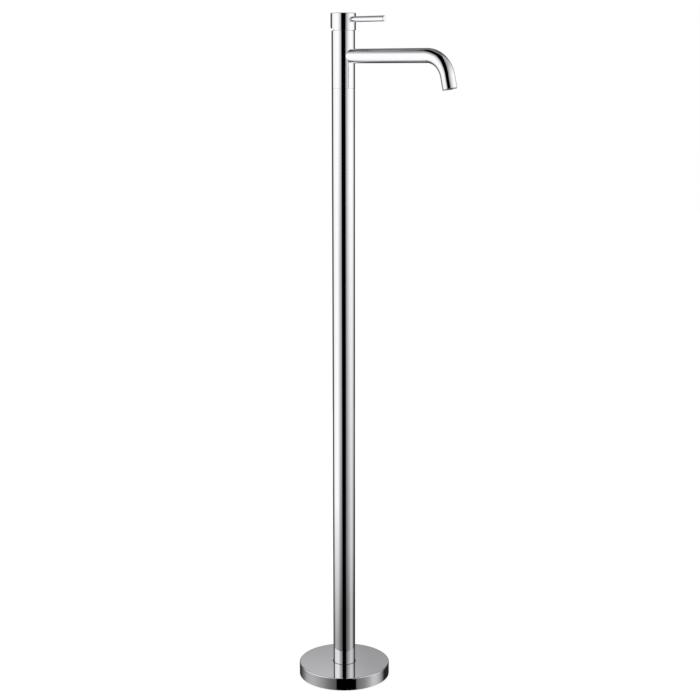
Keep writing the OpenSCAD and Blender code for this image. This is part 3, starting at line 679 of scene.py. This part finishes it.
class MIXER_OT_mixer_body(bpy.types.Operator):
    """Model the mixer body, with its spigot, its mouth, the spout's seat and the water ways"""
    bl_idname = "mixer.mixer_body"
    bl_label = "Mixer body"

    def execute(self, context):
        sizes = context.scene.mixer_sizes
        radius, spigot = reach_of("mixer_body"), reach_of("column_ring") - sizes.ring_wall
        foot, shoulder, high = bottom_of("mixer_body"), top_of("column_tube"), top_of("mixer_body")
        piece = start_round("chrome_body", radius, shoulder, high, sides=256)
        pick("FACE", face_at(high, 1))
        inset(radius - sizes.body_mouth)
        extrude((0.0, 0.0, -sizes.body_mouth_depth))
        inset(sizes.body_mouth - sizes.body_seat)
        extrude((0.0, 0.0, sizes.body_mouth_depth - sizes.body_seat_depth))
        pick("FACE", face_at(shoulder, -1))
        inset(radius - spigot)
        extrude((0.0, 0.0, foot - shoulder))
        upper, lower = upright_rim(radius, high), upright_rim(radius, shoulder)
        bevel(lambda edge: upper(edge) or lower(edge), sizes.joint_bevel, steps=3)
        self.open_spout_side(piece, sizes, radius)
        self.open_ways(piece, sizes, foot, high - sizes.body_seat_depth)
        finish_piece(piece, "chrome", "stand", "mixer_body")
        return {"FINISHED"}

    @staticmethod
    def open_spout_side(piece, sizes, radius):
        """Cuts the seat of the spout and the water room behind it."""
        seat, room = (sizes.spout_seat, 0.0, SPOUT_Z), (sizes.room_start, 0.0, SPOUT_Z)
        drill(piece, reach_of("spout_tube") + TINY, seat, (radius + PAST, 0.0, SPOUT_Z), sides=128)
        drill(piece, sizes.room_radius, room, (sizes.spout_seat + LAP, 0.0, SPOUT_Z))

    @staticmethod
    def open_ways(piece, sizes, foot, seat):
        """Cuts the outlet way, and the inlet ways with their sockets, up to the cartridge."""
        front = sizes.outlet_front
        drill(piece, sizes.outlet_radius, (front, 0.0, SPOUT_Z), (front, 0.0, seat + LAP))
        x, socket_end = -sizes.inlet_back, foot + sizes.socket_depth
        for y in (sizes.inlet_side, -sizes.inlet_side):
            drill(piece, sizes.socket_radius, (x, y, foot - LAP), (x, y, socket_end))
            drill(piece, sizes.inlet_radius, (x, y, socket_end - LAP), (x, y, seat + LAP))


class MIXER_OT_spout(bpy.types.Operator):
    """Model the spout tube along its straight length, its bend and its tail"""
    bl_idname = "mixer.spout"
    bl_label = "Spout"

    def execute(self, context):
        sizes = context.scene.mixer_sizes
        radius, root = reach_of("spout_tube"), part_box("spout_tube")[0].x
        down, across = math.sin(sizes.bend_angle), math.cos(sizes.bend_angle)
        tail, arm = Vector((across, 0.0, -down)), Vector((down, 0.0, across))
        centre = Vector((sizes.spout_straight, 0.0, SPOUT_Z - sizes.bend_radius))
        mouth = centre + arm * sizes.bend_radius + tail * sizes.spout_tail
        piece = start_piece("chrome_spout", bpy.ops.mesh.primitive_circle_add, vertices=112,
                            radius=radius, fill_type="NGON", location=(root, 0.0, SPOUT_Z),
                            rotation=(0.0, math.pi / 2, 0.0))
        bpy.ops.mesh.select_all(action="SELECT")
        extrude((sizes.spout_straight - root, 0.0, 0.0))
        bpy.ops.mesh.spin(steps=72, dupli=False, angle=-sizes.bend_angle, center=centre,
                          axis=(0.0, 1.0, 0.0))
        extrude(tail * sizes.spout_tail)

        # The ends are the only faces with more than four corners, and they are opened
        pick("FACE", lambda face: len(face.verts) > 4)
        bpy.ops.mesh.delete(type="FACE")
        close_up()
        bpy.ops.object.mode_set(mode="OBJECT")
        apply_modifier(piece, "SOLIDIFY", thickness=sizes.spout_wall, offset=-1.0,
                       use_even_offset=True)
        bpy.ops.object.mode_set(mode="EDIT")
        outer = rim_at(mouth, tail, radius)
        inner = rim_at(mouth, tail, radius - sizes.spout_wall)
        bevel(lambda edge: outer(edge) or inner(edge), sizes.mouth_edge, steps=4)
        finish_piece(piece, "chrome", "stand", "spout_tube")
        return {"FINISHED"}


class MIXER_OT_dome_ring(bpy.types.Operator):
    """Model the polished ring under the cap, a slice of a ball about the lever's pivot"""
    bl_idname = "mixer.dome_ring"
    bl_label = "Dome ring"

    def execute(self, context):
        sizes = context.scene.mixer_sizes
        low, high = bottom_of("dome_ring"), top_of("dome_ring")
        piece = start_piece("chrome_dome_ring", bpy.ops.mesh.primitive_uv_sphere_add,
                            segments=160, ring_count=120, radius=sizes.dome_radius,
                            location=(0.0, 0.0, PIVOT_Z))
        for height, side in ((low, -1.0), (high, 1.0)):
            bpy.ops.mesh.select_all(action="SELECT")
            bpy.ops.mesh.bisect(plane_co=(0.0, 0.0, height), plane_no=(0.0, 0.0, side),
                                clear_outer=True, use_fill=True)
        drill(piece, sizes.body_mouth, (0.0, 0.0, low - PAST), (0.0, 0.0, high + PAST), sides=160)
        finish_piece(piece, "chrome", "stand", "dome_ring")
        return {"FINISHED"}


class MIXER_OT_handle_cap(bpy.types.Operator):
    """Model the hollow handle cap, with its boss, its rear relief and the pin lever's seat"""
    bl_idname = "mixer.handle_cap"
    bl_label = "Handle cap"

    def execute(self, context):
        sizes = context.scene.mixer_sizes
        radius, low, high = reach_of("handle_cap"), bottom_of("handle_cap"), top_of("handle_cap")
        roof = high - sizes.cap_top
        piece = start_round("chrome_cap", radius, low, high, sides=256)
        pick("FACE", face_at(low, -1))
        inset(radius - sizes.cap_bore)
        extrude((0.0, 0.0, roof - low))
        inset(sizes.cap_bore - sizes.boss_radius)
        extrude((0.0, 0.0, PIVOT_Z + sizes.boss_up - roof))
        self.cut_relief(sizes)
        bevel(upright_rim(radius, high), sizes.cap_edge, steps=7)
        self.open_pin_seat(piece, sizes, radius)
        self.open_stem_hole(piece, sizes)
        finish_piece(piece, "chrome", "lever", "handle_cap")
        return {"FINISHED"}

    @staticmethod
    def cut_relief(sizes):
        """Cuts the rim off along the plane that lies level when the lever is lifted."""
        bpy.ops.mesh.select_all(action="SELECT")
        down = Matrix.Rotation(sizes.lift_angle, 3, "Y") @ Vector((0.0, 0.0, -1.0))
        place = Vector((0.0, 0.0, PIVOT_Z)) + down * sizes.relief_depth
        bpy.ops.mesh.bisect(plane_co=place, plane_no=down, clear_outer=True, use_fill=True)

    @staticmethod
    def open_pin_seat(piece, sizes, radius):
        """Cuts the pin lever's seat and the hole for its thread."""
        pin, root = reach_of("pin_lever") + sizes.pin_play, radius - sizes.pin_seat
        drill(piece, pin, (root, 0.0, PIN_Z), (radius + PAST, 0.0, PIN_Z), sides=96)
        drill(piece, sizes.stud_radius + TINY, (0.0, 0.0, PIN_Z), (root + LAP, 0.0, PIN_Z))

    @staticmethod
    def open_stem_hole(piece, sizes):
        """Cuts the square hole for the stem into the boss."""
        width = 2 * (reach_of("lever_stem") + TINY)
        roof = top_of("lever_stem") + sizes.stem_room
        deselect_all()
        bpy.ops.mesh.primitive_cube_add(size=1.0, location=(0.0, 0.0, (PIVOT_Z + roof) / 2),
                                        scale=(width, width, roof - PIVOT_Z))
        cut_with(piece, bpy.context.object)


class MIXER_OT_pin_lever(bpy.types.Operator):
    """Model the pin lever with its rounded tip and its threaded end"""
    bl_idname = "mixer.pin_lever"
    bl_label = "Pin lever"

    def execute(self, context):
        sizes = context.scene.mixer_sizes
        low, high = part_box("pin_lever")
        radius, root, tip = high.y, reach_of("handle_cap") - sizes.pin_seat, high.x
        piece = start_piece("chrome_pin", bpy.ops.mesh.primitive_cylinder_add, vertices=96,
                            radius=radius, depth=tip - root, rotation=(0.0, math.pi / 2, 0.0),
                            location=((tip + root) / 2, 0.0, PIN_Z))
        pick("FACE", lambda face: face.normal.x < -FACING)
        inset(radius - sizes.stud_radius)
        extrude((low.x - root, 0.0, 0.0))
        bevel(rim_at((tip, 0.0, PIN_Z), (1.0, 0.0, 0.0), radius), sizes.pin_tip, steps=10)
        finish_piece(piece, "chrome", "lever", "pin_lever")
        return {"FINISHED"}


# Stage

# Brightness round the mixer, as (degrees right of the camera, level): two soft boxes beside a
# dark gap at the camera, and dark flags behind them. The first set is for the upper part of the
# tent, the second for its foot.
UPPER_LEVELS = (
    (-180, 62), (-121, 66), (-117, 225), (-106, 247), (-91, 247), (-78, 254), (-54, 254),
    (-48, 252), (-39, 231), (-30, 209), (-20, 165),
    (20, 140), (28, 163), (38.5, 206), (49, 233), (60, 249), (72, 255), (85, 255), (100, 245),
    (116, 228), (120, 150), (124, 66), (180, 62),
)
LOWER_LEVELS = (
    (-180, 50), (-150, 42), (-142, 52), (-131, 84), (-119, 116), (-113, 143), (-107, 158),
    (-96, 170), (-84, 174), (-73, 166), (-62, 154), (-50, 136), (-39, 114), (-28, 96), (-19, 84),
    (20, 70), (28, 98), (39, 117), (50, 131), (62, 162), (73, 191), (84, 192), (96, 170),
    (104, 147), (112, 90), (118, 44), (124, 28), (142, 40), (180, 50),
)

# A course below is a number's first value and then a (start, end, change) for each change of it.
# A pair alone is where a climb from 0 to 1, or a fall from 1 to 0, starts and ends. What ends in
# _Z follows the height in metres. The rest follows the degrees, unless it says otherwise.

# Share of the upper levels, with two courses on the left: one near the gap and one far from it
SHARE_LEFT_NEAR_Z = (0.0, (-0.11, 0.32, 0.88), (0.32, 0.55, 0.12))
SHARE_LEFT_FAR_Z = (0.0, (-0.17, 0.15, 1.0))
SHARE_RIGHT_Z = (0.0, (-0.10, 0.05, 0.28), (0.05, 0.85, 0.72))
NEAR_TO_FAR = (36.0, 62.0)
LEFT_TO_RIGHT = (-1.0, 1.0)

# Share of the light that is left above the boxes. The left box reaches a few centimetres higher
# at the back and beside the gap, and beside the gap it is dimmed where it is low.
FADE_LEFT_Z = (1.0, (1.34, 1.6, -0.5), (1.6, 1.78, -0.14), (1.78, 2.1, -0.32))
FADE_RIGHT_Z = (1.0, (1.2, 1.5, -0.45), (1.5, 1.65, -0.12))
HIGHER_BACK = (0.0, (75.0, 110.0, 0.06))
HIGHER_GAP = (0.08, (38.0, 52.0, -0.08))
DIMMED_GAP = (0.3, (42.0, 64.0, -0.3))
DIMMED_Z = (1.0, (0.68, 1.12, -1.0))

# Light over the flags, and light of the roof, which comes in at these depths below it in metres
FLAGS, OVER_FLAGS_Z = (108.0, 122.0), (1.4, 1.75)
FLAG_LIGHT = (0.18, (112.0, 120.0, -0.09), (145.0, 165.0, 0.09))
ROOF_LIGHT = (0.0, (50.0, 100.0, 0.18))
ROOF_DEPTHS = (0.02, 0.005)

# Pale strip behind the mixer, which the foot's level top shows. It is darker on the right side,
# which starts at these metres from the mixer's axis.
STRIP, STRIP_LOW_Z, STRIP_HIGH_Z = (150.0, 162.0), (0.17, 0.2), (0.335, 0.38)
STRIP_LIGHT_Z = (0.345, (0.236, 0.325, 0.133))
STRIP_DARKER_Z = (0.05, (0.236, 0.325, 0.06))
STRIP_SIDE = (-0.03, 0.06)

# Edges of the dark gap at the camera, how softly the light starts there, and the light in the
# gap. The gap is wider above the mixer and, on the right, below the floor.
EDGE_LEFT_Z = (-18.0, (1.6, 1.9, -10.0), (1.97, 2.15, -120.0))
EDGE_RIGHT_Z = (28.5, (-0.205, -0.19, -9.5), (0.05, 0.3, 2.0), (1.2, 1.24, 2.5),
                (1.35, 1.7, 10.0), (1.75, 2.2, 21.0))
SOFT_LEFT, SOFT_RIGHT = (0.0, 2.0), (-1.0, 1.5)
GAP_LIGHT = 0.0003

TENT_TINT = (0.985, 0.98, 1.0)
FLOOR_TONES = (0.30, 0.31)
FLOOR_DROP = 0.1 * MM  # keeps the floor clear of the foot's underside
SENSOR = 36.0          # width of the camera's sensor in millimetres


def linear(level):
    """Linear light of a level between 0 and 255, by the sRGB curve."""
    part = level / 255.0
    return part / 12.92 if part <= 0.04045 else ((part + 0.055) / 1.055) ** 2.4


def brightness_ramp(tree, degrees, levels):
    turn = degrees * (1.0 / 360.0) + 0.5
    stops = [((at + 180.0) / 360.0, linear(level)) for at, level in levels]
    return tree.value("ShaderNodeValToRGB", {"stops": stops}, {"Fac": turn})


def box_light(tree, degrees, z):
    """Light of the boxes and the flags, by direction and height."""
    off, is_right = abs(degrees), degrees.rise(*LEFT_TO_RIGHT)
    left_share = z.course(*SHARE_LEFT_NEAR_Z)
    left_share = left_share.towards(z.course(*SHARE_LEFT_FAR_Z), off.rise(*NEAR_TO_FAR))
    upper_share = left_share.towards(z.course(*SHARE_RIGHT_Z), is_right)
    lower = brightness_ramp(tree, degrees, LOWER_LEVELS)
    wall = lower.towards(brightness_ramp(tree, degrees, UPPER_LEVELS), upper_share)
    left_height = z - (-degrees).course(*HIGHER_BACK) - off.course(*HIGHER_GAP)
    dimmed = off.course(*DIMMED_GAP) * z.course(*DIMMED_Z)
    left_fade = left_height.course(*FADE_LEFT_Z) * (1.0 - dimmed * left_share)
    return wall * left_fade.towards(z.course(*FADE_RIGHT_Z), is_right)


def tent_light(tree, degrees, aside, z, roof_z):
    """Light of the whole tent: the boxes, the wall over the flags, the roof, the strip, the gap."""
    off = abs(degrees)
    lit = box_light(tree, degrees, z)
    lit = lit.towards(degrees.course(*FLAG_LIGHT), off.rise(*FLAGS) * z.rise(*OVER_FLAGS_Z))
    roof = z.rise(*(roof_z - depth for depth in ROOF_DEPTHS))
    lit = lit.towards(off.course(*ROOF_LIGHT), roof)
    strip = off.rise(*STRIP) * z.rise(*STRIP_LOW_Z) * z.fall(*STRIP_HIGH_Z)
    darker = aside.rise(*STRIP_SIDE) * z.course(*STRIP_DARKER_Z)
    lit = lit.towards(z.course(*STRIP_LIGHT_Z) - darker, strip)
    beyond_left = (z.course(*EDGE_LEFT_Z) - degrees).rise(*SOFT_LEFT)
    beyond_right = (degrees - z.course(*EDGE_RIGHT_Z)).rise(*SOFT_RIGHT)
    return lit * (beyond_left + beyond_right) + GAP_LIGHT


def tent_material(stage):
    """Light of the tent's wall, by the direction round the mixer and the height."""
    material = bpy.data.materials.new("light_tent")
    tree = Tree(material, "ShaderNodeOutputMaterial")
    x, y, z = tree.parts(tree.place())
    front = Vector((math.sin(stage.camera_azimuth), -math.cos(stage.camera_azimuth)))
    ahead = x * front.x + y * front.y
    aside = x * -front.y + y * front.x
    degrees = aside.math("ARCTAN2", ahead) * math.degrees(1.0)
    light = tent_light(tree, degrees, aside, z, stage.tent_high)
    shade = tree.blend(light, grey(0.0), rgba(TENT_TINT))
    tree.show(tree.node("ShaderNodeEmission", None, {"Color": shade, "Strength": stage.tent_light}))
    material.cycles.emission_sampling = "NONE"
    return material


def background_share(tree):
    """1 for rays from the camera, off gloss or through glass: they all see plain white."""
    path = tree.node("ShaderNodeLightPath")
    seen = Value(tree, path.outputs["Is Camera Ray"]) + path.outputs["Is Glossy Ray"]
    return seen.math("ADD", path.outputs["Is Transmission Ray"], clamp=True)


def floor_material(stage):
    """Pale floor that keeps a soft shadow and is white elsewhere."""
    material = bpy.data.materials.new("pale_floor")
    tree = Tree(material, "ShaderNodeOutputMaterial")
    cloth = tree.noise(tree.place(), scale=6.0, detail=3.0, roughness=0.5)
    tone = tree.blend(cloth, *(grey(light) for light in FLOOR_TONES))
    matt = tree.node("ShaderNodeBsdfDiffuse", None, {"Color": tone})
    glow, unlit = (tree.node("ShaderNodeEmission", None, {"Color": grey(1.0), "Strength": light})
                   for light in (stage.floor_light, 0.0))
    seen = tree.choose(background_share(tree), unlit, glow)
    sockets = {0: matt.outputs[0], 1: seen.outputs[0]}
    tree.show(tree.node("ShaderNodeAddShader", None, sockets))
    return material


def white_world(scene, stage):
    """White surroundings: full white as a background, a little less as light on the object."""
    scene.world = bpy.data.worlds.new("white_surroundings")
    tree = Tree(scene.world, "ShaderNodeOutputWorld")
    light, white = (tree.node("ShaderNodeBackground", None, {"Color": grey(1.0), "Strength": power})
                    for power in (stage.sky_light, 1.0))
    tree.show(tree.choose(background_share(tree), light, white))


class MIXER_OT_stage(bpy.types.Operator):
    """Set up the pale floor, the light tent, the lamps and the camera"""
    bl_idname = "mixer.stage"
    bl_label = "Stage"

    def execute(self, context):
        scene = context.scene
        stage = scene.mixer_stage
        self.make_floor(stage)
        self.make_tent(stage)
        self.make_lamp(scene, stage, "soft_box_left", degrees=-70.0, power=9.0)
        self.make_lamp(scene, stage, "soft_box_right", degrees=75.0, power=6.0)
        white_world(scene, stage)
        self.make_camera(scene, stage)
        scene.view_settings.view_transform = "Standard"
        return {"FINISHED"}

    @staticmethod
    def make_floor(stage):
        floor = start_piece("floor", bpy.ops.mesh.primitive_circle_add, vertices=96,
                            radius=stage.floor_radius, fill_type="NGON",
                            location=(0.0, 0.0, -FLOOR_DROP))
        bpy.ops.object.mode_set(mode="OBJECT")
        floor.data.materials.append(floor_material(stage))
        floor.visible_glossy = False

    @staticmethod
    def make_tent(stage):
        low, high = -stage.tent_low, stage.tent_high
        tent = start_round("light_tent", stage.tent_radius, low, high, sides=128)
        bpy.ops.object.mode_set(mode="OBJECT")
        tent.data.materials.append(tent_material(stage))
        for kind in ("camera", "diffuse", "transmission", "volume_scatter", "shadow"):
            setattr(tent, "visible_" + kind, False)

    @staticmethod
    def make_lamp(scene, stage, name, degrees, power, distance=2.2, height=1.6, aim_z=0.6):
        """Adds a soft box that looks at the mixer, at some degrees right of the camera."""
        lamp = bpy.data.lights.new(name, "AREA")
        lamp.shape = "RECTANGLE"
        lamp.size, lamp.size_y = 1.2, 1.8
        lamp.energy = power
        holder = bpy.data.objects.new(name, lamp)
        scene.collection.objects.link(holder)
        turn = stage.camera_azimuth + math.radians(degrees)
        holder.location = (distance * math.sin(turn), -distance * math.cos(turn), height)
        aim = Vector((0.0, 0.0, aim_z)) - holder.location
        holder.rotation_euler = aim.to_track_quat("-Z", "Y").to_euler()
        holder.visible_camera = False
        holder.visible_glossy = False

    @staticmethod
    def make_camera(scene, stage):
        camera = bpy.data.objects.new("camera", bpy.data.cameras.new("camera"))
        scene.collection.objects.link(camera)
        camera.data.lens = stage.lens
        camera.data.sensor_width = SENSOR
        camera.data.clip_start, camera.data.clip_end = 0.05, 60.0
        turn, distance = stage.camera_azimuth, stage.camera_distance
        camera.location = (distance * math.sin(turn), -distance * math.cos(turn),
                           stage.camera_height)
        heading = Matrix.Rotation(stage.camera_azimuth - stage.camera_yaw, 3, "Z")
        tilt = Matrix.Rotation(math.pi / 2 - stage.camera_pitch, 3, "X")
        roll = Matrix.Rotation(stage.camera_roll, 3, "Z")
        camera.rotation_euler = (heading @ tilt @ roll).to_euler()
        scene.camera = camera


class MIXER_PT_panel(bpy.types.Panel):
    """Lists the steps and what can be changed in the sidebar"""
    bl_idname = "MIXER_PT_panel"
    bl_label = "Basin mixer"
    bl_space_type = "VIEW_3D"
    bl_region_type = "UI"
    bl_category = "Mixer"

    def draw(self, context):
        for step in STEPS:
            self.layout.operator(step.bl_idname)
        for group in GROUPS:
            box = self.layout.box()
            owner = getattr(context.scene, group)
            for name in owner.bl_rna.properties.keys():
                if name not in ("rna_type", "name"):
                    box.prop(owner, name)


GROUPS = {"mixer_sizes": MixerSizes, "mixer_finishes": MixerFinishes, "mixer_stage": MixerStage}
STEPS = (
    MIXER_OT_finishes, MIXER_OT_base_cover, MIXER_OT_column, MIXER_OT_mixer_body, MIXER_OT_spout,
    MIXER_OT_dome_ring, MIXER_OT_handle_cap, MIXER_OT_pin_lever, MIXER_OT_stage,
)
CLASSES = (*GROUPS.values(), *STEPS, MIXER_PT_panel)


def register():
    for entry in CLASSES:
        bpy.utils.register_class(entry)
    for name, group in GROUPS.items():
        setattr(bpy.types.Scene, name, bpy.props.PointerProperty(type=group))


def unregister():
    for name in GROUPS:
        delattr(bpy.types.Scene, name)
    for entry in reversed(CLASSES):
        bpy.utils.unregister_class(entry)


def main():
    register()
    for step in STEPS:
        group, name = step.bl_idname.split(".")
        getattr(getattr(bpy.ops, group), name)()


if __name__ == "__main__":
    main()
